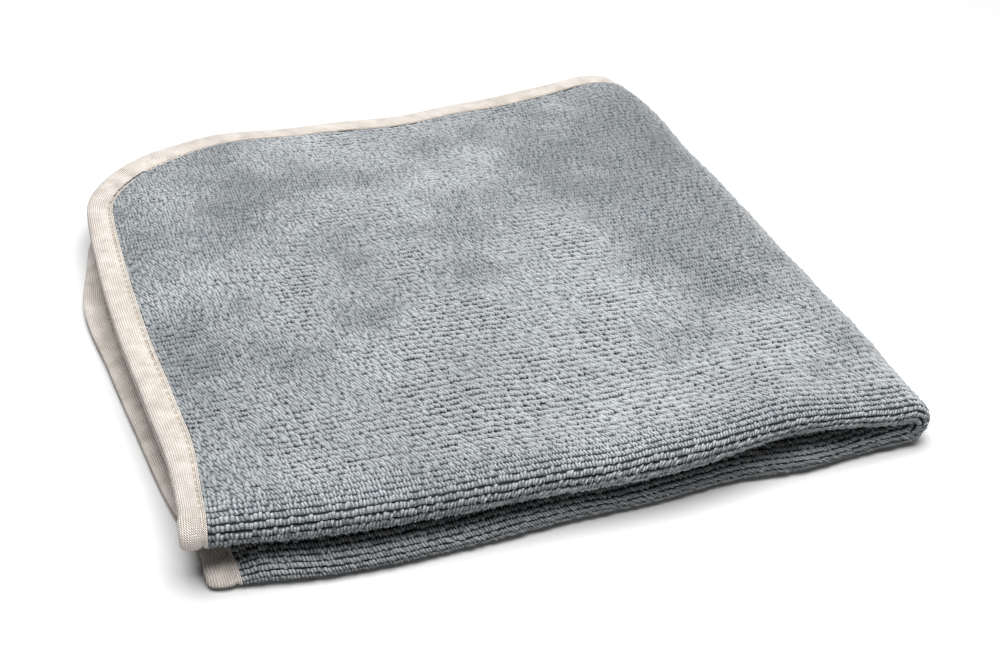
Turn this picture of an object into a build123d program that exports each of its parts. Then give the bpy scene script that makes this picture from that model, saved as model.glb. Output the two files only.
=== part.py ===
from build123d import *
import os

# A square microfibre terry towel with a sewn-on edge binding, folded in quarters.
# Millimetres, +Z up. The origin is the bottom centre of the folded towel's box.
# First fold: along X, at the front. Second fold: along Y, at the right. The two
# folds leave four layers, bound on the left and at the back.

# ---- driving dimensions ----
folded_width = 205.0      # X, bound left edge to the outside of the right fold
folded_depth = 205.0      # Y, outside of the front folds to the bound back edge
layer = 4.0               # one thickness of terry, its pile included
ply_gap = 0.3             # air between neighbouring layers
corner_radius = 50.0      # rounded corner of the towel, at the outside of the binding
tape_width = 7.5          # binding that shows on each face
tape = 0.5                # thickness of the binding tape
seam_inset = 1.2          # stitch line, in from the binding's inner edge
thread_width = 0.5
thread_depth = 0.3        # the thread is pulled down flush with the tape
hinge_clearance = 0.3     # between the upper half's end and the right fold

# ---- places worked out from them ----
stack_height = 4 * layer + 3 * ply_gap
left = -folded_width / 2
back = folded_depth / 2
pair_radius = layer + ply_gap / 2                # outside of a front fold
fold_inside = ply_gap / 2                        # inside of the tightest folds
front_axis = -folded_depth / 2 + pair_radius     # Y of the front folds' centre line
hinge_x = folded_width / 2 - stack_height / 2    # centre line of the right fold
hinge_z = stack_height / 2
upper_end = hinge_x - hinge_clearance
pair_centre = hinge_z - pair_radius - ply_gap / 2    # Z of the lower front fold's centre
stitch_out = tape_width - seam_inset - thread_width / 2
stitch_in = stitch_out + thread_width

# name, height of the underside, right end, and whether the needle face is on top
layers = [
    ("bottom", 0.0, hinge_x, False),
    ("lower_inner", layer + ply_gap, hinge_x, True),
    ("upper_inner", 2 * (layer + ply_gap), upper_end, False),
    ("top", 3 * (layer + ply_gap), upper_end, True),
]

# name, height of the fold's centre line, right end
front_folds = [
    ("lower", pair_centre, hinge_x),
    ("upper", stack_height - pair_centre, upper_end),
]

# name, outside radius, inside radius, and whether the needle face is outside
right_folds = [
    ("outer", stack_height / 2, stack_height / 2 - layer, True),
    ("inner", pair_radius, fold_inside, False),
]


def plan(inset, right_end):
    """One layer seen from above, its bound left and back edges moved in by inset."""
    radius = corner_radius - inset
    x = left + inset
    y = back - inset
    side = Line((x, front_axis), (x, y - radius))
    corner = CenterArc((x + radius, y - radius), radius, 180, -90)
    rest = Polyline((x + radius, y), (right_end, y), (right_end, front_axis), (x, front_axis))
    return make_face([side, corner, rest])


def slab(inset, right_end, low, high):
    """The plan made solid between two heights."""
    return Pos(0, 0, low) * extrude(plan(inset, right_end), high - low)


def half_disc(radius):
    """Half disc about the origin, on the side of negative first axis."""
    flat = Pos(-radius / 2, 0) * Rectangle(radius, 2 * radius)
    return Circle(radius) & flat


def half_ring(outside, inside):
    return half_disc(outside) - half_disc(inside)


def front_bend(outside, inside, centre_z, start, end):
    """Half tube that bulges to the front, from X = start to X = end."""
    # the section's first axis is world Y, its second is world Z
    section = Plane(origin=(start, front_axis, centre_z), x_dir=(0, 1, 0), z_dir=(1, 0, 0))
    return extrude(section * half_ring(outside, inside), end - start)


def right_bend(outside, inside, start, end):
    """Half tube that bulges to the right, from Y = start to Y = end."""
    # the section's first axis is world -X, its second is world Z
    section = Plane(origin=(hinge_x, start, hinge_z), x_dir=(-1, 0, 0), z_dir=(0, 1, 0))
    return extrude(section * half_ring(outside, inside), end - start)


def seam_groove(low, right_end, on_top):
    """The channel that one thread fills in a layer's binding."""
    floor = low + layer - thread_depth if on_top else low
    ceiling = floor + thread_depth
    return slab(stitch_out, right_end, floor, ceiling) - slab(stitch_in, right_end, floor, ceiling)


def cloth_layer(low, right_end):
    """Terry: full pile up to the binding, flattened where the tape grips it."""
    pile = slab(tape_width, right_end, low, low + layer)
    gripped = slab(tape, right_end, low + tape, low + layer - tape)
    return pile + gripped


def bound_layer(low, right_end):
    """Binding of one layer: a tape folded over the edge, before its seam."""
    return slab(0, right_end, low, low + layer) - cloth_layer(low, right_end)


def front_fold_cloth(centre_z, end):
    """Terry round a front fold, its left end flattened inside the binding."""
    pile = front_bend(pair_radius, fold_inside, centre_z, left + tape_width, end)
    gripped_outside = pair_radius - tape
    gripped_inside = fold_inside + tape
    gripped = front_bend(gripped_outside, gripped_inside, centre_z, left + tape, left + tape_width)
    return pile + gripped


def front_knuckle(centre_z):
    """Binding bent round the left end of a front fold."""
    block = front_bend(pair_radius, fold_inside, centre_z, left, left + tape_width)
    return block - front_fold_cloth(centre_z, left + tape_width + layer)


def front_knuckle_thread(centre_z, outside):
    """Thread round a front knuckle, on its outside or its inside."""
    surface = pair_radius if outside else fold_inside + thread_depth
    return front_bend(surface, surface - thread_depth, centre_z, left + stitch_out, left + stitch_in)


def right_fold_cloth(outside, inside):
    """Terry round the right fold, its back end flattened inside the binding."""
    bound_from = back - tape_width
    pile = right_bend(outside, inside, front_axis, bound_from)
    gripped = right_bend(outside - tape, inside + tape, bound_from, back - tape)
    return pile + gripped


def right_wrap(outside, inside):
    """Binding bent round the back end of the right fold."""
    block = right_bend(outside, inside, back - tape_width, back)
    return block - right_bend(outside - tape, inside + tape, back - tape_width, back - tape)


def right_wrap_thread(outside, inside, on_outside):
    """Thread round the back end of the right fold, on its outside or its inside."""
    surface = outside if on_outside else inside + thread_depth
    return right_bend(surface, surface - thread_depth, back - stitch_in, back - stitch_out)


def corner_fold():
    """Doubled terry at the front right corner, turned half round the hinge line."""
    # the front fold's section, set at its distance from the hinge line
    middle = hinge_z - pair_centre
    section = Plane(origin=(hinge_x, front_axis, hinge_z - middle), x_dir=(0, 1, 0), z_dir=(1, 0, 0))
    hinge_line = Axis((hinge_x, 0, hinge_z), (0, -1, 0))
    return revolve(section * half_ring(pair_radius, fold_inside), hinge_line, 180)


def save(shape, node):
    export_step(shape, f"parts/{node}.step")


def make_layers():
    for name, low, right_end, needle_on_top in layers:
        needle = seam_groove(low, right_end, needle_on_top)
        bobbin = seam_groove(low, right_end, not needle_on_top)
        save(cloth_layer(low, right_end), f"{name}_panel")
        save(bound_layer(low, right_end) - needle - bobbin, f"{name}_binding")
        save(needle, f"{name}_needle_thread")
        save(bobbin, f"{name}_bobbin_thread")


def make_front_folds():
    for name, centre_z, end in front_folds:
        needle = front_knuckle_thread(centre_z, True)
        bobbin = front_knuckle_thread(centre_z, False)
        save(front_fold_cloth(centre_z, end), f"{name}_front_fold")
        save(front_knuckle(centre_z) - needle - bobbin, f"{name}_knuckle_binding")
        save(needle, f"{name}_knuckle_needle_thread")
        save(bobbin, f"{name}_knuckle_bobbin_thread")


def make_right_folds():
    for name, outside, inside, needle_outside in right_folds:
        needle = right_wrap_thread(outside, inside, needle_outside)
        bobbin = right_wrap_thread(outside, inside, not needle_outside)
        save(right_fold_cloth(outside, inside), f"{name}_right_fold")
        save(right_wrap(outside, inside) - needle - bobbin, f"{name}_wrap_binding")
        save(needle, f"{name}_wrap_needle_thread")
        save(bobbin, f"{name}_wrap_bobbin_thread")
    save(corner_fold(), "corner_fold")


os.makedirs("parts", exist_ok=True)
make_layers()
make_front_folds()
make_right_folds()
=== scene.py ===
import math

import bpy
import numpy as np
from mathutils import Matrix, Vector


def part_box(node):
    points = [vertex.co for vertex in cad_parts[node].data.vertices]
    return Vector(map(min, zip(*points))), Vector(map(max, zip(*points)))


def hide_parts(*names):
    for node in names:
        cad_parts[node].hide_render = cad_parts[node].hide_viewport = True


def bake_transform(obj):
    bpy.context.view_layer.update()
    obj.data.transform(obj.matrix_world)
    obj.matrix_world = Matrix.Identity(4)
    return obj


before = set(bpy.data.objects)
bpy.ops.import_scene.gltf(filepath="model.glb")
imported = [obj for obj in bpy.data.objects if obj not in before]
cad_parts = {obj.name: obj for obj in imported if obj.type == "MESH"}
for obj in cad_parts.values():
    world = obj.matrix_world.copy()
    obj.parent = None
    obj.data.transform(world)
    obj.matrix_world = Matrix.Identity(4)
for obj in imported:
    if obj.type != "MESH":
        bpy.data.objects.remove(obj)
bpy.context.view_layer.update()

# ---- The folds ------------------------------------------------------------------------------
# One square of terry, folded to the front and then to the right. Every piece of the towel is
# made flat, as it was sewn, and laid round the two folds by fold(). The halves of the folded
# stack mirror each other about the right fold's line, where the towel opens like a book.

mm = 0.001
stack_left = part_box("bottom_binding")[0][0] / mm
stack_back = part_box("bottom_binding")[1][1] / mm
stack_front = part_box("lower_front_fold")[0][1] / mm
stack_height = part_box("outer_right_fold")[1][2] / mm
hinge_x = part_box("lower_inner_panel")[1][0] / mm
front_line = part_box("bottom_panel")[0][1] / mm
hinge_z = stack_height / 2
pair_radius = (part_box("lower_front_fold")[1][2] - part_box("lower_front_fold")[0][2]) / mm / 2
pair_middle = hinge_z - pair_radius

cloth_half = 203.0      # a 406 mm (16 in) square of terry, from its middle to its edge
pile_tip = 1.3          # loops stand this far above the ground cloth
pile_back = -2.6        # loops of the hidden face, below the ground cloth
ground_radius = pair_radius - pile_tip
neutral = 0.8           # the height that neither stretches nor shortens where the cloth bends
tightest_bend = 0.2     # the innermost layer bends no tighter than this
halves = {"lower": -1.0, "upper": 1.0}      # which way each half lies from the hinge line
front_fullness = {"lower": 0.1, "upper": 0.75}     # how much fuller the front folds stand


def ease(t):
    t = np.clip(t, 0.0, 1.0)
    return t * t * (3.0 - 2.0 * t)


def hump(t):
    return np.exp(-t * t)


def fold(flat, half):
    """Lays flat points in mm round both folds. Their columns are the distance from the right
    fold, the distance from the front fold, which is negative on the inner layer, and the height
    above the ground cloth on the outer face."""
    along, across, height = flat[:, 0], flat[:, 1], flat[:, 2]
    side = np.where(across < 0, -1.0, 1.0)
    # the front fold stands a little fuller than the layers behind it, but not at the corner
    full = front_fullness[half] * ease((along - 8.0) / 40.0)
    radius = ground_radius + full
    quarter = (radius + neutral) * math.pi / 2
    turn = np.minimum(np.abs(across) / (radius + neutral), math.pi / 2)
    run = np.maximum(np.abs(across) - quarter, 0.0)
    settled = ease(run / 22.0)
    y = front_line - (radius + height) * np.cos(turn)
    y += run * (stack_back - front_line) / (cloth_half - quarter)
    ground = side * np.where(run > 0, ground_radius + full * (1 - settled), radius * np.sin(turn))
    rise = side * np.where(run > 0, 1.0, np.sin(turn))
    middle = pair_middle + full * (1 - settled) * halves[half]
    bend_radius = np.maximum(middle + ground + rise * neutral, tightest_bend)
    bend_quarter = bend_radius * math.pi / 2
    bend = np.minimum(along / bend_radius, math.pi / 2)
    slide = np.maximum(along - bend_quarter, 0.0)
    slide *= (hinge_x - stack_left) / (cloth_half - bend_quarter)
    reach = middle + ground + rise * height
    x = hinge_x + reach * np.cos(bend) - slide
    z = hinge_z + halves[half] * reach * np.sin(bend)
    return lie(np.column_stack([x, y, z]), half) * mm


def follow(stations, where):
    """A smooth line through a few stations, given as place and value."""
    places, values = np.array(stations, float).T
    slopes = np.gradient(values, places)
    i = np.clip(np.searchsorted(places, where) - 1, 0, len(places) - 2)
    span = places[i + 1] - places[i]
    t = np.clip((where - places[i]) / span, 0.0, 1.0)
    start_slope, end_slope = slopes[i] * span, slopes[i + 1] * span
    rise = values[i + 1] - values[i]
    return values[i] + t * (start_slope + t * (
        3 * rise - 2 * start_slope - end_slope + t * (start_slope + end_slope - 2 * rise)))


# How far each edge stands out from the square, in mm, at places along it in mm: the left edges
# of the two halves from front to back, the fold on the right, the two front folds and the back.
left_out = {
    "upper": [(-105, 1.7), (-92, 2.9), (-78, 3.4), (-45, 1.7), (-10, -0.3), (30, -0.6), (60, 0.4),
              (100, 1.5)],
    "lower": [(-105, 7.2), (-92, 6.6), (-72, 2.8), (-40, -0.7), (-12, -3.4), (20, -5.9), (45, -1.9),
              (75, 2.5), (100, 2.5)]}
right_out = [(-105, -2.6), (-80, -2.8), (-50, -3.7), (0, -2.4), (50, -2.7), (80, -3.5), (100, -8.0)]
front_out = {
    "upper": [(-105, 2.6), (-88, 1.0), (-60, -1.6), (-18, -2.4), (25, -3.2), (58, 0.8), (100, 0.8)],
    "lower": [(-105, 0.2), (-70, -4.6), (-38, -4.4), (-10, -2.6), (15, -2.2), (40, -0.4), (65, -1.8),
              (100, 2.6)]}
back_out = [(-105, -3.9), (-75, -10.2), (-50, -10.1), (-20, -11.6), (10, -10.8), (40, -6.2),
            (70, -4.3), (90, -1.6), (105, -8.8)]


def lie(points, half):
    """How the folded towel really lies: edges that don't quite meet, a slack front, thin bound
    edges, a lifted back corner and soft waves. Nothing here parts the halves at the hinge line."""
    x, y, z = points.T.copy()
    away = np.clip((hinge_x - x) / (hinge_x - stack_left), 0.0, 1.0)
    back = np.clip((y - stack_front) / (stack_back - stack_front), 0.0, 1.0)
    loose = ease(away / 0.22)
    up = np.clip(z / stack_height, 0.0, 1.2)
    dx = away * follow(left_out[half], y) + (1 - away) * follow(right_out, y)
    dy = (1 - ease(back / 0.3)) * loose * follow(front_out[half], x)
    dy = dy + ease((back - 0.6) / 0.4) * follow(back_out, x)
    wave = 0.55 * np.sin(x / 17.0 + 0.8 * np.sin(y / 26.0)) * np.sin(y / 21.0 + 1.1)
    wave += 0.35 * np.sin(x / 7.5 - y / 12.0 + 2.0) * np.sin(y / 9.0 + x / 31.0)
    lift = wave + 3.0 * ease((x - 38.0) / 50.0) * ease((back - 0.72) / 0.28)
    lift -= 3.2 * ease((x - 55.0) / 45.0) * (1 - ease(back / 0.25))
    lift -= 1.2 * ease((-x - 70.0) / 30.0) * ease(back / 0.3)
    slack = 0.0
    if half == "upper":
        slack = (1 - ease(back / 0.45)) * loose * 0.3
        # the tape was sewn narrower towards the front fold
        dx = dx - 2.0 * ease((0.22 - back) / 0.18) * hump((x - stack_left - 8.5) / 6.0)
    # each half is pressed thin along its bound edge and its front fold, so the two part there,
    # but the upper one's bound edge stays fuller where it turns over the front fold
    at_edge = ease((-x - 78.0) / 22.0) * (1 - ease((back - 0.8) / 0.2))
    at_fold = (1 - ease(back / 0.14)) * ease(away / 0.12)
    if half == "lower":
        z = z * (1 - np.maximum(0.58 * at_edge, 0.33 * at_fold))
    else:
        at_edge = at_edge * (0.3 + 0.7 * ease(back / 0.14))
        crown = stack_height - z
        z = z + crown * np.maximum(0.36 * at_edge, 0.22 * at_fold * ease((x - 20.0) / 30.0))
    return np.column_stack([x + dx, y + dy, z + slack + up * lift])


def laid_piece(name, mesh, flat, half):
    """Lays a flat mesh round the folds and makes it a piece of the towel. The upper half is a mirror
    image of the lower, so its faces are turned to point outwards again. The piece follows its half."""
    mesh.vertices.foreach_set("co", fold(flat, half).ravel())
    if half == "upper":
        mesh.flip_normals()
    mesh.polygons.foreach_set("use_smooth", [True] * len(mesh.polygons))
    mesh.update()
    piece = bpy.data.objects.new(name, mesh)
    bpy.context.scene.collection.objects.link(piece)
    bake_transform(piece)
    return piece


# ---- Ground cloth ---------------------------------------------------------------------------
# Split-fibre polyester and polyamide, warp-knitted, with loops drawn out of both faces. The ground
# between the loops lies deep in their shade, so its colour is painted dark, as painted shade, and it
# shows as the dark lines between ribs.

binding_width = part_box("upper_knuckle_binding")[1][0] / mm - stack_left
pile_inset = binding_width + 0.45       # the pile starts just inside the tape
rib_spacing = (cloth_half - pile_inset) / 95
rib_height = 0.7
corner_radius = 50.0
cloth_inset = 0.9       # the cut edge sits just inside the folded binding


def linear(code):
    """An sRGB hex colour as the linear values that shaders take."""
    parts = [int(code[i:i + 2], 16) / 255 for i in (1, 3, 5)]
    return tuple(c / 12.92 if c <= 0.04045 else ((c + 0.055) / 1.055) ** 2.4 for c in parts) + (1.0,)


def add(tree, kind, inputs=None, **settings):
    """Adds a node with its settings, and fills or links the inputs that are named."""
    node = tree.nodes.new(kind)
    for name, value in settings.items():
        setattr(node, name, value)
    for name, value in (inputs or {}).items():
        if isinstance(value, bpy.types.NodeSocket):
            tree.links.new(value, node.inputs[name])
        else:
            node.inputs[name].default_value = value
    return node


def new_material(name, **constants):
    """A material with one Principled shader, whose constants are set on its own sockets."""
    material = bpy.data.materials.new(name)
    material.use_nodes = True
    tree = material.node_tree
    tree.nodes.clear()
    shader = add(tree, "ShaderNodeBsdfPrincipled")
    for socket, value in constants.items():
        shader.inputs[socket.replace("_", " ")].default_value = value
    add(tree, "ShaderNodeOutputMaterial", {"Surface": shader.outputs[0]})
    return material, tree, shader


def finish_material(tree, shader, colour, height, depth):
    """Gives the shader its colour, and its bump from a height that is drawn this deep, in mm."""
    bump = add(tree, "ShaderNodeBump", {"Height": height, "Distance": depth * mm})
    tree.links.new(colour, shader.inputs["Base Color"])
    tree.links.new(bump.outputs["Normal"], shader.inputs["Normal"])


# Knitted split microfibre: matt. Its colour is painted shade: dark grey on the ribs, for the shade
# under the loops, and nearly black between the ribs, where light doesn't come back out. Its stitches
# run as fine cells about 0.8 mm apart.
ground_material, tree, shader = new_material(
    "knitted microfibre ground", Roughness=0.95, Specular_IOR_Level=0.2)
place = add(tree, "ShaderNodeTexCoord").outputs["Object"]
cells = add(tree, "ShaderNodeTexVoronoi", {"Vector": place, "Scale": 1 / (0.8 * mm)})
on_rib = add(tree, "ShaderNodeAttribute", attribute_name="on_rib").outputs["Fac"]
speck = add(tree, "ShaderNodeMath", {0: cells.outputs["Distance"], 1: 0.3}, operation="MULTIPLY")
level = add(tree, "ShaderNodeMath", {0: on_rib, 1: speck.outputs[0]}, operation="SUBTRACT")
# painted shade: the ramp runs from near black between the ribs to dark grey on them
shade = add(tree, "ShaderNodeValToRGB", {"Fac": level.outputs[0]})
shade.color_ramp.elements[0].position = 0.25
shade.color_ramp.elements[0].color = linear("#1d2022")
shade.color_ramp.elements[1].position = 0.9
shade.color_ramp.elements[1].color = linear("#585e61")
finish_material(tree, shader, shade.outputs["Color"], cells.outputs["Distance"], 0.3)


def spaced(start, end, step):
    """Places from start to end, as near to the step as whole parts allow."""
    return np.linspace(start, end, max(1, round(abs(end - start) / step)) + 1)


def round_off(along, across, inset):
    """Draws points of a square grid in, so that its outer corner becomes the rounded one. Gives
    the points and how far each lies inside the rounded edge."""
    edge = cloth_half - inset
    radius = corner_radius - inset
    a = np.maximum(along - (edge - radius), 0.0)
    b = np.maximum(np.abs(across) - (edge - radius), 0.0)
    far = np.maximum(a, b)
    shrink = np.where(far > 0, far / np.maximum(np.hypot(a, b), 1e-9), 1.0)
    new_along = np.minimum(along, edge - radius) + a * shrink
    new_across = (np.minimum(np.abs(across), edge - radius) + b * shrink) * np.sign(across)
    return new_along, new_across, radius - far


def wandered(flat):
    """Lets the ribs wander a little to either side, as a knitted rib does."""
    u, v = flat[:, 0], flat[:, 1]
    stray = 0.26 * np.sin(u / 11.0 + 1.7 * np.sin(v / 23.0))
    stray += 0.15 * np.sin(u / 4.3 + v / 9.0 + 1.3 * np.sin(u / 17.0))
    return np.column_stack([u, v + stray, flat[:, 2]])


def ground_cloth(half, layer):
    """A closed sheet, its face raised along each rib and its hidden face plain. It reaches from
    the middle of the front fold to the back edge."""
    edge = cloth_half - cloth_inset
    under = edge - binding_width
    columns = np.unique(np.concatenate([
        spaced(0, 16, 1.6), spaced(16, under, 4.0), spaced(under, edge, 2.4)]))
    ribs = int(edge // rib_spacing)
    face_rows = [(k + part) * rib_spacing for k in range(ribs) for part in (0, 0.26, 0.74)]
    face_rows = np.array(face_rows + [edge])
    if layer == "inner":
        face_rows = -face_rows[::-1]
    back_rows = face_rows[::3]
    sheets = []
    for rows, is_face in ((face_rows, True), (back_rows, False)):
        u, v = np.meshgrid(columns, rows, indexing="ij")
        u, v, inside = round_off(u.ravel(), v.ravel(), cloth_inset)
        free = ease((inside - binding_width + 0.8) / 0.8)
        on_rib = np.tile(np.where(np.arange(len(rows)) % 3 == 0, 0.0, 1.0), len(columns)) * free
        height = rib_height * on_rib if is_face else pile_back + 1.1 * (1 - free)
        sheets.append((np.column_stack([u, v, height]), on_rib * is_face, len(rows)))
    (face, face_rib, wide), (back, back_rib, narrow) = sheets
    first = len(face)
    last = (len(columns) - 1) * wide
    last_back = (len(columns) - 1) * narrow
    faces = []
    for i in range(len(columns) - 1):
        for j in range(wide - 1):
            a = i * wide + j
            faces.append((a, a + wide, a + wide + 1, a + 1))
        for j in range(narrow - 1):
            a = first + i * narrow + j
            faces.append((a + 1, a + narrow + 1, a + narrow, a))
        a, b = i * wide, first + i * narrow
        faces.append((a + wide, a, b, b + narrow))
        a, b = a + wide - 1, b + narrow - 1
        faces.append((a, a + wide, b + narrow, b))
    for j in range(narrow - 1):
        rise = list(range(3 * j, 3 * j + 4))
        faces.append(tuple(rise + [first + j + 1, first + j]))
        fall = [last + k for k in reversed(rise)]
        faces.append(tuple(fall + [first + last_back + j, first + last_back + j + 1]))
    flat = wandered(np.concatenate([face, back]))
    mesh = bpy.data.meshes.new(f"{half}_{layer}_ground")
    mesh.from_pydata(flat.tolist(), [], faces)
    mesh.attributes.new("on_rib", "FLOAT", "POINT").data.foreach_set(
        "value", np.concatenate([face_rib, back_rib]))
    mesh.materials.append(ground_material)
    return laid_piece(f"{half}_{layer}_ground", mesh, flat, half)


ground_turn = {"outer": 6.5, "inner": 2.8}      # the two layers of each half
ground = {(half, layer): ground_cloth(half, layer) for half in halves for layer in ground_turn}
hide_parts("bottom_panel", "lower_front_fold", "outer_right_fold")
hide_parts("lower_inner_panel", "inner_right_fold", "corner_fold")
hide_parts("top_panel", "upper_front_fold")
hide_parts("upper_inner_panel")
with_ground = {quarter: [] for quarter in ground}   # what is sewn to or grows from each sheet

# ---- Pile loops -----------------------------------------------------------------------------
# Loops of split microfibre stand in ribs, one behind the other, on the face of the towel. Each loop
# leans across its rib, and the lean drifts over the cloth, which gives part of its cloudy look; the
# rest is painted light and shade in the pile's colour.

loop_spacing = 0.86
loop_half = (0.52, 1.04, 0.82)   # half its width, length and height
loop_middle = 0.45               # its middle stands this far above the ground
loop_slant = {"lower": 0.12, "upper": -0.44}     # radians from straight across the rib
corner_power = 1.8               # below 2, so the pile gives way to the wider tape at the corner
upright_within = 10.0            # loops stand up this near the middle of the front fold
lying_from = 19.0                # and lie over from here on
patch_scale = 0.035              # the pile tips over in patches about 30 mm wide
most_closed_line = 108.0               # the pile lies most closed along a line this far from the right fold, and opens towards the sides
# how much more the pile opens towards the sides; open pile is painted darker, as painted shade
side_opening = 0.08
behind_fold_closing = -0.20             # the cloth just behind the front fold lies closed
back_right_opening = 0.34           # and it is most open where the right fold meets the back

# Split microfibre in a dyed grey-blue: soft and matt, with a faint sheen at a low angle. Each
# loop is a bundle of two or three strands, and no two take the dye and the light quite alike.
loop_material, tree, shader = new_material(
    "looped microfibre pile", Roughness=0.85, Specular_IOR_Level=0.3, Sheen_Weight=0.3,
    Sheen_Roughness=0.5)
place = add(tree, "ShaderNodeTexCoord").outputs["Object"]
own_shade = add(tree, "ShaderNodeAttribute", attribute_name="loop_shade").outputs["Fac"]
across = add(tree, "ShaderNodeAttribute", attribute_name="loop_across").outputs["Fac"]
opened = add(tree, "ShaderNodeAttribute", attribute_name="pile_open").outputs["Fac"]
# strands across each loop: a relief for the bump, whose grooves are also painted darker, as painted
# shade between the strands
phase = add(tree, "ShaderNodeMath", {0: across, 1: 4.4}, operation="MULTIPLY").outputs[0]
phase = add(tree, "ShaderNodeMath", {0: phase, 1: own_shade}, operation="ADD").outputs[0]
strand_relief_and_shade = add(tree, "ShaderNodeMath", {0: phase}, operation="SINE").outputs[0]
strand_relief_and_shade = add(tree, "ShaderNodeMath", {0: strand_relief_and_shade}, operation="ABSOLUTE").outputs[0]
fibres = add(tree, "ShaderNodeTexNoise", {
    "Vector": place, "Scale": 1 / (0.4 * mm), "Detail": 2.0}).outputs["Fac"]
# painted light and shade: clouds about 30 mm wide, lighter and darker, standing for the light on
# leaning pile
painted_lean_light = add(tree, "ShaderNodeTexNoise", {
    "Vector": place, "Scale": 1 / (30 * mm), "Detail": 3.0}).outputs["Fac"]
# painted shade: each loop darker towards its sides, where light doesn't reach
painted_side_shade = add(tree, "ShaderNodeMath", {0: across, 1: across}, operation="MULTIPLY").outputs[0]
# painted shade: where the pile is open (pile_open), the loops are painted darker
parts = [(own_shade, 0.18), (strand_relief_and_shade, 0.22), (fibres, 0.24), (painted_lean_light, 0.50), (painted_side_shade, -0.10),
         (opened, -0.25)]
total = None
for source, weight in parts:
    part = add(tree, "ShaderNodeMath", {0: source, 1: weight}, operation="MULTIPLY").outputs[0]
    if total is None:
        total = part
    else:
        total = add(tree, "ShaderNodeMath", {0: total, 1: part}, operation="ADD").outputs[0]
shade = add(tree, "ShaderNodeValToRGB", {"Fac": total})
shade.color_ramp.elements[0].position = 0.08
shade.color_ramp.elements[0].color = linear("#44484b")
shade.color_ramp.elements[1].position = 0.95
shade.color_ramp.elements[1].color = linear("#a6aaad")
finish_material(tree, shader, shade.outputs["Color"], strand_relief_and_shade, 0.16)


def new_tree(name, inputs):
    """An empty Geometry Nodes tree with these named inputs, given as names and socket kinds."""
    tree = bpy.data.node_groups.new(name, "GeometryNodeTree")
    tree.interface.new_socket("Geometry", in_out="INPUT", socket_type="NodeSocketGeometry")
    for label, kind in inputs.items():
        tree.interface.new_socket(label, in_out="INPUT", socket_type=f"NodeSocket{kind}")
    tree.interface.new_socket("Geometry", in_out="OUTPUT", socket_type="NodeSocketGeometry")
    return tree, tree.nodes.new("NodeGroupInput").outputs


def end_tree(tree, geometry, material):
    """Turns the instances into one mesh of this material, which is how every tree ends."""
    real = add(tree, "GeometryNodeRealizeInstances", {"Geometry": geometry})
    dressed = add(tree, "GeometryNodeSetMaterial", {
        "Geometry": real.outputs[0], "Material": material})
    add(tree, "NodeGroupOutput", {"Geometry": dressed.outputs[0]})


def grow(tree, values):
    """Runs a tree on an empty mesh with these input values, and gives the mesh that it makes
    with its points."""
    holder = bpy.data.objects.new("holder", bpy.data.meshes.new("holder"))
    bpy.context.scene.collection.objects.link(holder)
    modifier = holder.modifiers.new("nodes", "NODES")
    modifier.node_group = tree
    for socket in tree.interface.items_tree:
        if socket.name in values:
            modifier[socket.identifier] = values[socket.name]
    graph = bpy.context.evaluated_depsgraph_get()
    mesh = bpy.data.meshes.new_from_object(holder.evaluated_get(graph), depsgraph=graph)
    holder.modifiers.clear()
    bpy.data.objects.remove(holder)
    points = np.empty(len(mesh.vertices) * 3)
    mesh.vertices.foreach_get("co", points)
    return mesh, points.reshape(-1, 3)


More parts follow.
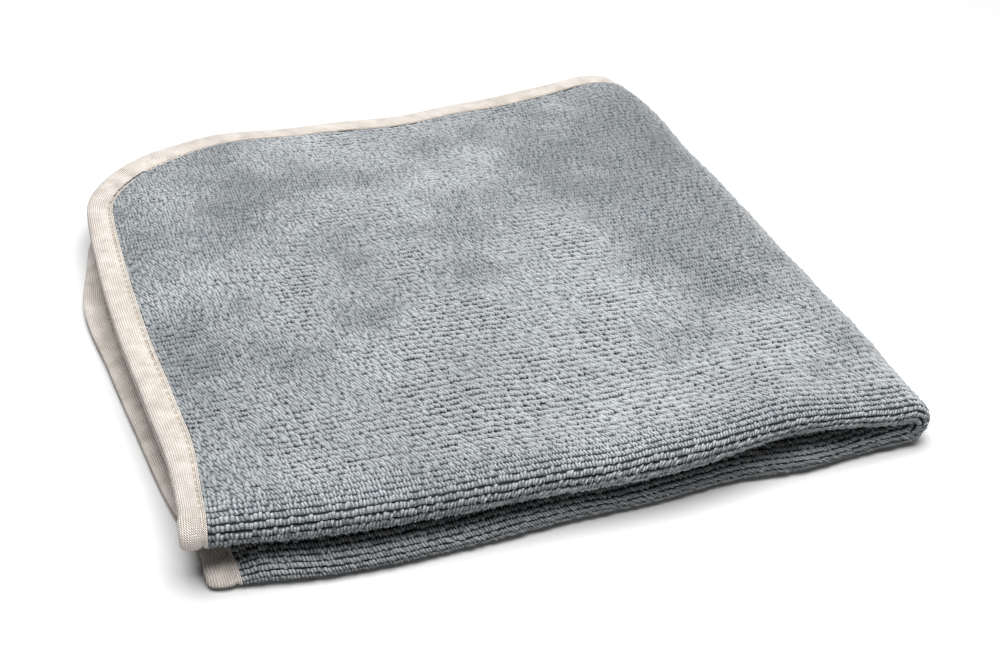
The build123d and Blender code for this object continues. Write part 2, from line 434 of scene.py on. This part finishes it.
def loop_tree():
    tree, given = new_tree("pile loops", {
        "Width": "Float", "Length": "Float", "Columns": "Int", "Ribs": "Int", "Middle": "Vector",
        "Straight": "Float", "Corner Radius": "Float", "Loop Size": "Vector", "Slant": "Float",
        "Seed": "Int", "Material": "Material"})
    grid = add(tree, "GeometryNodeMeshGrid", {
        "Size X": given["Width"], "Size Y": given["Length"],
        "Vertices X": given["Columns"], "Vertices Y": given["Ribs"]})
    placed = add(tree, "GeometryNodeTransform", {
        "Geometry": grid.outputs["Mesh"], "Translation": given["Middle"]})
    # the round corner is bound, so no loops stand outside it
    position = add(tree, "GeometryNodeInputPosition").outputs[0]
    beyond = add(tree, "ShaderNodeVectorMath", {0: position}, operation="ABSOLUTE").outputs[0]
    beyond = add(tree, "ShaderNodeVectorMath", {0: beyond, 1: given["Straight"]},
                 operation="SUBTRACT").outputs[0]
    beyond = add(tree, "ShaderNodeVectorMath", {0: beyond}, operation="MAXIMUM").outputs[0]
    beyond = add(tree, "ShaderNodeSeparateXYZ", {0: beyond}).outputs
    far = [add(tree, "ShaderNodeMath", {
        0: beyond[axis], 1: corner_power}, operation="POWER").outputs[0]
           for axis in ("X", "Y")]
    far = add(tree, "ShaderNodeMath", {0: far[0], 1: far[1]}, operation="ADD").outputs[0]
    far = add(tree, "ShaderNodeMath", {0: far, 1: 1 / corner_power}, operation="POWER").outputs[0]
    outside = add(tree, "FunctionNodeCompare", {
        0: far, 1: given["Corner Radius"]}, operation="GREATER_THAN")
    kept = add(tree, "GeometryNodeDeleteGeometry", {
        "Geometry": placed.outputs[0], "Selection": outside.outputs[0]}, domain="POINT").outputs[0]
    # each loop strays a little from its place in the rib
    stray = add(tree, "FunctionNodeRandomValue", {
        "Min": (-0.14, -0.26, -0.16), "Max": (0.14, 0.26, 0.12), "Seed": given["Seed"]},
        data_type="FLOAT_VECTOR").outputs["Value"]
    strayed = add(tree, "GeometryNodeSetPosition", {"Geometry": kept, "Offset": stray}).outputs[0]
    # loops stand straight and short of each other's ribs round the front fold, which opens the
    # ribs, and lie over the gaps on the flat
    from_fold = add(tree, "ShaderNodeSeparateXYZ", {0: position}).outputs["Y"]
    from_fold = add(tree, "ShaderNodeMath", {0: from_fold}, operation="ABSOLUTE").outputs[0]
    flatness = add(tree, "ShaderNodeMapRange", {
        "Value": from_fold, "From Min": upright_within, "From Max": lying_from}).outputs[0]
    drift = add(tree, "ShaderNodeTexNoise", {
        "Vector": position, "Scale": patch_scale, "Detail": 2.0}).outputs["Fac"]
    # the pile opens towards the cloth's sides, lies closed just behind the front fold, and opens most
    # where the right fold meets the back edge; where it is open its loops are shorter, so gaps show,
    # and they are painted darker, as painted shade
    from_right = add(tree, "ShaderNodeSeparateXYZ", {0: position}).outputs["X"]
    off_middle = add(tree, "ShaderNodeMath", {
        0: from_right, 1: most_closed_line}, operation="SUBTRACT").outputs[0]
    off_middle = add(tree, "ShaderNodeMath", {0: off_middle}, operation="ABSOLUTE").outputs[0]
    open_shift = add(tree, "ShaderNodeMapRange", {
        "Value": off_middle, "From Max": 100.0, "To Min": -side_opening, "To Max": side_opening}).outputs[0]
    fold_closed_shift = add(tree, "ShaderNodeMapRange", {
        "Value": from_fold, "From Min": 20.0, "From Max": 90.0, "To Min": behind_fold_closing,
        "To Max": 0.0}).outputs[0]
    open_shift = add(tree, "ShaderNodeMath", {0: open_shift, 1: fold_closed_shift}, operation="ADD").outputs[0]
    at_back = add(tree, "ShaderNodeMapRange", {
        "Value": from_fold, "From Min": 0.0, "From Max": 140.0}).outputs[0]
    at_right = add(tree, "ShaderNodeMapRange", {
        "Value": from_right, "From Min": 10.0, "From Max": 75.0, "To Min": back_right_opening,
        "To Max": 0.0}).outputs[0]
    back_right_shift = add(tree, "ShaderNodeMath", {
        0: at_back, 1: at_right}, operation="MULTIPLY").outputs[0]
    open_shift = add(tree, "ShaderNodeMath", {0: open_shift, 1: back_right_shift}, operation="ADD").outputs[0]
    drift = add(tree, "ShaderNodeMath", {0: drift, 1: open_shift}, operation="ADD").outputs[0]
    opened = add(tree, "ShaderNodeMapRange", {
        "Value": drift, "From Min": 0.40, "From Max": 0.64}).outputs[0]
    # where it tips over, the ribs close up; elsewhere dark dots show between them
    closed = add(tree, "ShaderNodeMapRange", {
        "Value": opened, "To Min": 1.28, "To Max": 0.98}).outputs[0]
    drift = add(tree, "ShaderNodeMapRange", {
        "Value": drift, "From Min": 0.3, "From Max": 0.7, "To Min": -0.45,
        "To Max": 0.3}).outputs[0]
    drift = add(tree, "ShaderNodeMath", {0: drift, 1: flatness}, operation="MULTIPLY").outputs[0]
    fold_slant = add(tree, "ShaderNodeMapRange", {
        "Value": from_right, "From Max": 200.0, "To Min": 1.3, "To Max": 0.4}).outputs[0]
    flat_slant = add(tree, "ShaderNodeMapRange", {
        "Value": from_right, "From Max": 200.0, "To Min": 1.1, "To Max": 0.55}).outputs[0]
    slant = add(tree, "ShaderNodeMapRange", {
        "Value": flatness, "To Min": fold_slant, "To Max": flat_slant}).outputs[0]
    slant = add(tree, "ShaderNodeMath", {
        0: slant, 1: given["Slant"]}, operation="MULTIPLY").outputs[0]
    lean = add(tree, "ShaderNodeCombineXYZ", {"X": drift, "Y": 0.0, "Z": slant}).outputs[0]
    wobble = add(tree, "FunctionNodeRandomValue", {
        "Min": (-0.26, -0.2, -0.26), "Max": (0.26, 0.2, 0.26), "Seed": given["Seed"]},
        data_type="FLOAT_VECTOR").outputs["Value"]
    turned = add(tree, "ShaderNodeVectorMath", {0: lean, 1: wobble}, operation="ADD").outputs[0]
    scatter = add(tree, "FunctionNodeRandomValue", {
        "Min": (0.84, 0.88, 0.86), "Max": (1.18, 1.14, 1.16), "Seed": given["Seed"]},
        data_type="FLOAT_VECTOR").outputs["Value"]
    reach = add(tree, "ShaderNodeMapRange", {
        "Value": flatness, "To Min": 0.86, "To Max": closed}).outputs[0]
    spread = add(tree, "ShaderNodeMapRange", {
        "Value": flatness, "To Min": 1.0, "To Max": 1.10}).outputs[0]
    reach = add(tree, "ShaderNodeCombineXYZ", {"X": spread, "Y": reach, "Z": 1.0}).outputs[0]
    scatter = add(tree, "ShaderNodeVectorMath", {0: scatter, 1: reach},
                  operation="MULTIPLY").outputs[0]
    # one loop: a ball of few faces, drawn out along the loop, blunt at its ends and arched
    ball = add(tree, "GeometryNodeMeshUVSphere", {"Segments": 4, "Rings": 3, "Radius": 1.0})
    ball = add(tree, "GeometryNodeTransform", {
        "Geometry": ball.outputs["Mesh"], "Rotation": (math.pi / 2, 0.0, 0.0)}).outputs[0]
    spot = add(tree, "ShaderNodeSeparateXYZ", {0: position}).outputs
    ball = add(tree, "GeometryNodeStoreNamedAttribute", {
        "Geometry": ball, "Name": "loop_across", "Value": spot["X"]},
        data_type="FLOAT", domain="POINT").outputs[0]
    reach = add(tree, "ShaderNodeMath", {0: spot["Y"]}, operation="ABSOLUTE").outputs[0]
    reach = add(tree, "ShaderNodeMath", {0: reach, 1: 0.5}, operation="POWER").outputs[0]
    way = add(tree, "ShaderNodeMath", {0: spot["Y"]}, operation="SIGN").outputs[0]
    blunt = add(tree, "ShaderNodeMath", {0: reach, 1: way}, operation="MULTIPLY").outputs[0]
    droop = add(tree, "ShaderNodeMath", {0: blunt, 1: 4.0}, operation="POWER").outputs[0]
    droop = add(tree, "ShaderNodeMath", {0: droop, 1: -0.6}, operation="MULTIPLY").outputs[0]
    arched = add(tree, "ShaderNodeMath", {0: spot["Z"], 1: droop}, operation="ADD").outputs[0]
    shape = add(tree, "ShaderNodeCombineXYZ", {"X": spot["X"], "Y": blunt, "Z": arched}).outputs[0]
    ball = add(tree, "GeometryNodeSetPosition", {"Geometry": ball, "Position": shape}).outputs[0]
    loop = add(tree, "GeometryNodeTransform", {
        "Geometry": ball, "Scale": given["Loop Size"]}).outputs[0]
    loops = add(tree, "GeometryNodeInstanceOnPoints", {
        "Points": strayed, "Instance": loop, "Rotation": turned, "Scale": scatter}).outputs[0]
    shade = add(tree, "FunctionNodeRandomValue", {"Seed": given["Seed"]}, data_type="FLOAT")
    marked = add(tree, "GeometryNodeStoreNamedAttribute", {
        "Geometry": loops, "Name": "loop_shade", "Value": shade.outputs["Value"]},
        data_type="FLOAT", domain="INSTANCE").outputs[0]
    marked = add(tree, "GeometryNodeStoreNamedAttribute", {
        "Geometry": marked, "Name": "pile_open", "Value": opened},
        data_type="FLOAT", domain="INSTANCE").outputs[0]
    end_tree(tree, marked, given["Material"])
    return tree


pile = loop_tree()
pile_edge = cloth_half - pile_inset
ribs = round(pile_edge / rib_spacing)
columns = int(pile_edge // loop_spacing)
for number, half in enumerate(halves):
    # four bands of ribs in each half, two on each layer, keep every mesh a modest size
    for band in range(4):
        first = (band - 2) * ribs // 2
        count = (band - 1) * ribs // 2 - first
        length = (count - 1) * rib_spacing
        width = pile_edge - loop_spacing / 2
        middle_across = (first + 0.5) * rib_spacing + length / 2
        mesh, flat = grow(pile, {
            "Width": width, "Length": length, "Columns": columns, "Ribs": count,
            "Middle": (loop_spacing / 2 + width / 2, middle_across, loop_middle),
            "Straight": cloth_half - corner_radius, "Corner Radius": corner_radius - pile_inset + 0.5,
            "Loop Size": loop_half, "Slant": loop_slant[half],
            "Seed": 10 * number + band, "Material": loop_material})
        layer = "inner" if band < 2 else "outer"
        piece = laid_piece(
            f"{half}_pile_loops_{band + 1}", mesh, wandered(flat), half)
        with_ground[half, layer].append(piece)

# ---- Satin binding --------------------------------------------------------------------------
# A woven polyester satin tape, folded in two over the cut edge and round the corners in one
# length. It rolls over both folds with the cloth, and the seam pulls it down in a row of dimples.

seam_inset = binding_width - 1.2
stitch_pitch = 2.7
tape_nose = 1.7         # the tape turns over the edge within this far of it
tape_step = 0.65
corner_start = cloth_half - corner_radius
corner_length = corner_radius * math.pi / 2
yarn_spacing = 0.62
edge_length = 2 * (2 * corner_start + corner_length)

# Satin: floats of bright yarn run along the tape and show as fine lines with a soft gloss, and
# the twill that binds them shows where it turns over a fold. Both are drawn 0.62 mm apart,
# a little coarser than they are, so that they show.
tape_material, tree, shader = new_material(
    "woven satin tape", Roughness=0.55, Specular_IOR_Level=0.4, Sheen_Weight=0.15,
    Sheen_Roughness=0.4)
spot = add(tree, "ShaderNodeSeparateXYZ", {
    0: add(tree, "ShaderNodeUVMap", uv_map="tape").outputs[0]}).outputs
yarn = 2 * math.pi / yarn_spacing
lines = add(tree, "ShaderNodeMath", {0: spot["Y"], 1: yarn}, operation="MULTIPLY").outputs[0]
lines = add(tree, "ShaderNodeMath", {0: lines}, operation="SINE").outputs[0]
slant = add(tree, "ShaderNodeMath", {0: spot["X"], 1: spot["Y"]}, operation="ADD").outputs[0]
twill = add(tree, "ShaderNodeMath", {0: slant, 1: yarn}, operation="MULTIPLY").outputs[0]
twill = add(tree, "ShaderNodeMath", {0: twill}, operation="SINE").outputs[0]
weave = add(tree, "ShaderNodeMath", {0: lines, 1: twill}, operation="ADD").outputs[0]
place = add(tree, "ShaderNodeTexCoord").outputs["Object"]
slubs = add(tree, "ShaderNodeTexNoise", {
    "Vector": place, "Scale": 1 / (5 * mm), "Detail": 4.0}).outputs["Fac"]
weave_shade = add(tree, "ShaderNodeMath", {0: weave, 1: 0.2}, operation="MULTIPLY").outputs[0]
mixed = add(tree, "ShaderNodeMath", {0: slubs, 1: weave_shade}, operation="ADD").outputs[0]
shade = add(tree, "ShaderNodeValToRGB", {"Fac": mixed})
shade.color_ramp.elements[0].position = 0.2
shade.color_ramp.elements[0].color = linear("#a2988f")
shade.color_ramp.elements[1].position = 0.8
shade.color_ramp.elements[1].color = linear("#e2dad2")
finish_material(tree, shader, shade.outputs["Color"], weave, 0.13)


def on_edge(along_edge, inset, height):
    """Flat places on the cloth, from the distance along the bound edge of a half, the distance
    in from that edge and the height."""
    from_front = np.abs(along_edge - edge_length / 2)
    side = np.sign(edge_length / 2 - along_edge)
    angle = np.clip((from_front - corner_start) / corner_radius, 0.0, math.pi / 2)
    past = np.maximum(from_front - corner_start - corner_length, 0.0)
    inset = inset * (1 + 0.24 * np.sin(2 * angle) ** 2)     # the tape lies wider round the corner
    u = corner_start + (corner_radius - inset) * np.cos(angle) - past
    v = np.minimum(from_front, corner_start) + (corner_radius - inset) * np.sin(angle)
    return np.column_stack([u, v * side, height])


def tape_height(along_edge, inset, face):
    """How high the tape's outer surface stands, on the outer face, 1, or the hidden one, -1."""
    pull = 0.5 - 0.5 * np.cos(2 * math.pi * along_edge / stitch_pitch)
    seam = 0.48 * hump((inset - seam_inset) / 0.55) * (0.65 + 0.35 * pull)
    middle = binding_width * 0.42
    crown = 0.42 + 0.42 * np.clip(1 - ((inset - middle) / (middle + 0.4)) ** 2, 0, 1)
    crown += 0.35 * ease((inset - seam_inset) / 0.8)
    from_front = np.abs(along_edge - edge_length / 2)
    in_corner = ease((from_front - corner_start) / 15) * ease(
        (corner_start + corner_length - from_front) / 15)
    pucker = 0.10 * in_corner * np.sin(2 * math.pi * along_edge / 5.6 + 0.25 * inset)
    ripple = 0.06 * np.sin(along_edge / 6.3) * np.sin(along_edge / 17.0 + inset / 3)
    # the tape bulges where it starts to turn over the front fold
    knuckle = 0.5 * hump((from_front - 8.2) / 1.7) + 0.25 * (1 - ease((from_front - 6.0) / 4.0))
    top = crown - seam + pucker + ripple + knuckle * np.clip(inset / 2.0, 0.0, 1.0)
    return top if face > 0 else -1.55 - top


def satin_binding(half):
    along = spaced(0, edge_length, tape_step)
    near_seam = [1.2, 1.05, 0.75, 0.45, 0.2, 0.0, -0.2, -0.45, -0.8]
    insets = np.array([seam_inset + d for d in near_seam] + [4.6, 3.6, 2.7, 2.1])
    ring = [(inset, 1, None) for inset in insets]
    ring += [(tape_nose * (1 - math.cos(a)), 0, math.sin(a)) for a in np.radians(
        [72, 50, 28, 8, -12, -32, -52, -72])]
    ring += [(inset, -1, None) for inset in insets[::-1][::2]] + [(binding_width, -1, None)]
    lining = [(inset, -2, None) for inset in (binding_width - 0.05, 4.5, 2.2)]
    lining += [(0.75, 0, -0.5), (0.55, 0, 0.0), (0.75, 0, 0.5)]
    lining += [(inset, 2, None) for inset in (2.2, 4.5, binding_width - 0.05)]
    ring += lining
    flat = []
    width = 0.0
    widths = []
    before = None
    spread = 0.6 * (1 - ease((np.abs(along - edge_length / 2) - 7.5) / 2.5))
    for inset, face, lean in ring:
        inset_all = inset - spread * max(0.0, 1 - inset / 3)
        if lean is not None:
            nose = np.full(len(along), tape_nose)
            high = tape_height(along, nose, 1)
            low = tape_height(along, nose, -1)
            inward = 0.85 if inset in (0.75, 0.55) else 1.0
            height = (high + low) / 2 + (high - low) / 2 * lean * inward
        elif abs(face) == 2:
            height = np.full(len(along), 0.08 if face > 0 else -1.7)
        else:
            height = tape_height(along, inset_all, face)
        flat.append(on_edge(along, inset_all, height))
        middle = (inset, float(np.mean(height)))
        if before is not None:
            width += math.dist(before, middle)
        before = middle
        widths.append(width)
    count = len(ring)
    flat = np.stack(flat, axis=1).reshape(-1, 3)
    faces = []
    for i in range(len(along) - 1):
        for j in range(count):
            k = (j + 1) % count
            faces.append((i * count + j, (i + 1) * count + j, (i + 1) * count + k, i * count + k))
    faces.append(tuple(range(count)))
    faces.append(tuple((len(along) - 1) * count + j for j in reversed(range(count))))
    mesh = bpy.data.meshes.new(f"{half}_satin_binding")
    mesh.from_pydata(flat.tolist(), [], faces)
    corners = np.empty(len(mesh.loops), dtype=int)
    mesh.loops.foreach_get("vertex_index", corners)
    uv = np.column_stack([np.repeat(along, count), np.tile(widths, len(along))])
    mesh.uv_layers.new(name="tape").data.foreach_set("uv", uv[corners].ravel())
    mesh.materials.append(tape_material)
    return laid_piece(f"{half}_satin_binding", mesh, flat, half)


bound = {"lower": ["bottom", "lower_inner", "lower_knuckle", "outer_wrap", "inner_wrap"],
         "upper": ["top", "upper_inner", "upper_knuckle"]}
for half in halves:
    piece = satin_binding(half)
    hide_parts(*[f"{stretch}_binding" for stretch in bound[half]])
    with_ground[half, "outer"].append(piece)

# ---- Lockstitch -----------------------------------------------------------------------------
# One row of lockstitch in spun polyester, 1.2 mm in from the tape's inner edge. The needle
# thread shows on the outer face and the bobbin thread on the hidden one, each in its dimple.

stitch_half = (0.95, 0.42, 0.24)

# Spun polyester thread: matt, with a twist about 0.4 mm long. Its colour is partly the thread's own
# tan and partly painted shade of the dimple it lies in, which makes it darker and browner than the
# tape.
thread_material, tree, shader = new_material(
    "spun polyester thread", Roughness=0.8, Specular_IOR_Level=0.3)
place = add(tree, "ShaderNodeTexCoord").outputs["Object"]
twist = add(tree, "ShaderNodeTexNoise", {
    "Vector": place, "Scale": 1 / (0.4 * mm), "Detail": 1.0}).outputs["Fac"]
shade = add(tree, "ShaderNodeValToRGB", {"Fac": twist})
# the thread's tan, darkened with painted shade of its dimple
shade.color_ramp.elements[0].color = linear("#80766a")
shade.color_ramp.elements[1].color = linear("#a69b8e")
finish_material(tree, shader, shade.outputs["Color"], twist, 0.08)


def stitch_tree():
    tree, given = new_tree("lockstitch", {
        "Stitches": "Int", "Pitch": "Float", "Start": "Vector", "Stitch Size": "Vector",
        "Seed": "Int", "Material": "Material"})
    step = add(tree, "ShaderNodeCombineXYZ", {"X": given["Pitch"]}).outputs[0]
    row = add(tree, "GeometryNodeMeshLine", {
        "Count": given["Stitches"], "Start Location": given["Start"], "Offset": step}).outputs[0]
    ball = add(tree, "GeometryNodeMeshUVSphere", {"Segments": 6, "Rings": 4, "Radius": 1.0})
    lying = add(tree, "GeometryNodeTransform", {
        "Geometry": ball.outputs["Mesh"], "Rotation": (0.0, math.pi / 2, 0.0)}).outputs[0]
    stitch = add(tree, "GeometryNodeTransform", {
        "Geometry": lying, "Scale": given["Stitch Size"]}).outputs[0]
    turned = add(tree, "FunctionNodeRandomValue", {
        "Min": (0.0, 0.0, -0.12), "Max": (0.0, 0.0, 0.12), "Seed": given["Seed"]},
        data_type="FLOAT_VECTOR").outputs["Value"]
    scatter = add(tree, "FunctionNodeRandomValue", {
        "Min": (0.9, 0.9, 0.9), "Max": (1.1, 1.1, 1.1), "Seed": given["Seed"]},
        data_type="FLOAT_VECTOR").outputs["Value"]
    stitches = add(tree, "GeometryNodeInstanceOnPoints", {
        "Points": row, "Instance": stitch, "Rotation": turned, "Scale": scatter}).outputs[0]
    end_tree(tree, stitches, given["Material"])
    return tree


lockstitch = stitch_tree()
for number, half in enumerate(halves):
    for thread, face in (("needle", 1), ("bobbin", -1)):
        dimple = tape_height(np.array([stitch_pitch / 2]), np.array([seam_inset]), face)[0]
        mesh, row = grow(lockstitch, {
            "Stitches": int(edge_length // stitch_pitch), "Pitch": stitch_pitch,
            "Start": (stitch_pitch / 2, seam_inset, dimple + 0.14 * face),
            "Stitch Size": stitch_half, "Seed": 20 + number, "Material": thread_material})
        flat = on_edge(*row.T)
        piece = laid_piece(f"{half}_{thread}_stitches", mesh, flat, half)
        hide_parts(*[f"{stretch}_{thread}_thread" for stretch in bound[half]])
        with_ground[half, "outer"].append(piece)

# ---- Floor, light and camera ----------------------------------------------------------------
# A white table under broad soft light, brightest from above and behind, and a camera that looks
# down on the towel from its front left.

floor_material, tree, shader = new_material("white table", Roughness=0.9, Specular_IOR_Level=0.1)
shader.inputs["Base Color"].default_value = (0.46, 0.46, 0.46, 1.0)
floor_mesh = bpy.data.meshes.new("table")
reach = 3.0
floor_mesh.from_pydata(
    [(-reach, -reach, 0), (reach, -reach, 0), (reach, reach, 0), (-reach, reach, 0)],
    [], [(0, 1, 2, 3)])
floor_mesh.materials.append(floor_material)
floor = bpy.data.objects.new("table", floor_mesh)
bpy.context.scene.collection.objects.link(floor)

world = bpy.data.worlds.new("studio")
world.use_nodes = True
tree = world.node_tree
tree.nodes.clear()
# the room is dim beside the lamps, but it looks white past the table's edge
seen = add(tree, "ShaderNodeLightPath").outputs["Is Camera Ray"]
glow = add(tree, "ShaderNodeMapRange", {"Value": seen, "To Min": 0.10, "To Max": 1.0}).outputs[0]
room = add(tree, "ShaderNodeBackground", {"Color": (1.0, 1.0, 1.0, 1.0), "Strength": glow})
add(tree, "ShaderNodeOutputWorld", {"Surface": room.outputs[0]})
bpy.context.scene.world = world
bpy.context.scene.view_settings.view_transform = "Standard"


def soft_light(name, place, size, power):
    """A square area light of this size and power, turned towards the towel."""
    lamp = bpy.data.lights.new(name, "AREA")
    lamp.energy = power
    lamp.size = size
    holder = bpy.data.objects.new(name, lamp)
    holder.matrix_world = Matrix.Translation(place) @ (
        -Vector(place)).to_track_quat("-Z", "Y").to_matrix().to_4x4()
    bpy.context.scene.collection.objects.link(holder)


soft_light("overhead", (-0.02, -0.08, 1.1), 0.95, 35.8)
soft_light("front", (0.1, -1.1, 0.35), 0.6, 2.0)

azimuth = math.radians(-22.31)
elevation = math.radians(34.45)
roll = math.radians(3.94)
camera_distance = 433.7
camera_data = bpy.data.cameras.new("camera")
camera_data.sensor_width = 36.0
camera_data.lens = 53.35
camera_data.clip_start = 0.01
camera = bpy.data.objects.new("camera", camera_data)
bpy.context.scene.collection.objects.link(camera)
outward = Vector((
    math.sin(azimuth) * math.cos(elevation), -math.cos(azimuth) * math.cos(elevation),
    math.sin(elevation)))
aim = Vector((5.0, -21.2, 0.0)) * mm
facing = (-outward).to_track_quat("-Z", "Y").to_matrix() @ Matrix.Rotation(roll, 3, "Z")
camera.matrix_world = Matrix.Translation(aim + outward * camera_distance * mm) @ facing.to_4x4()
bpy.context.scene.camera = camera
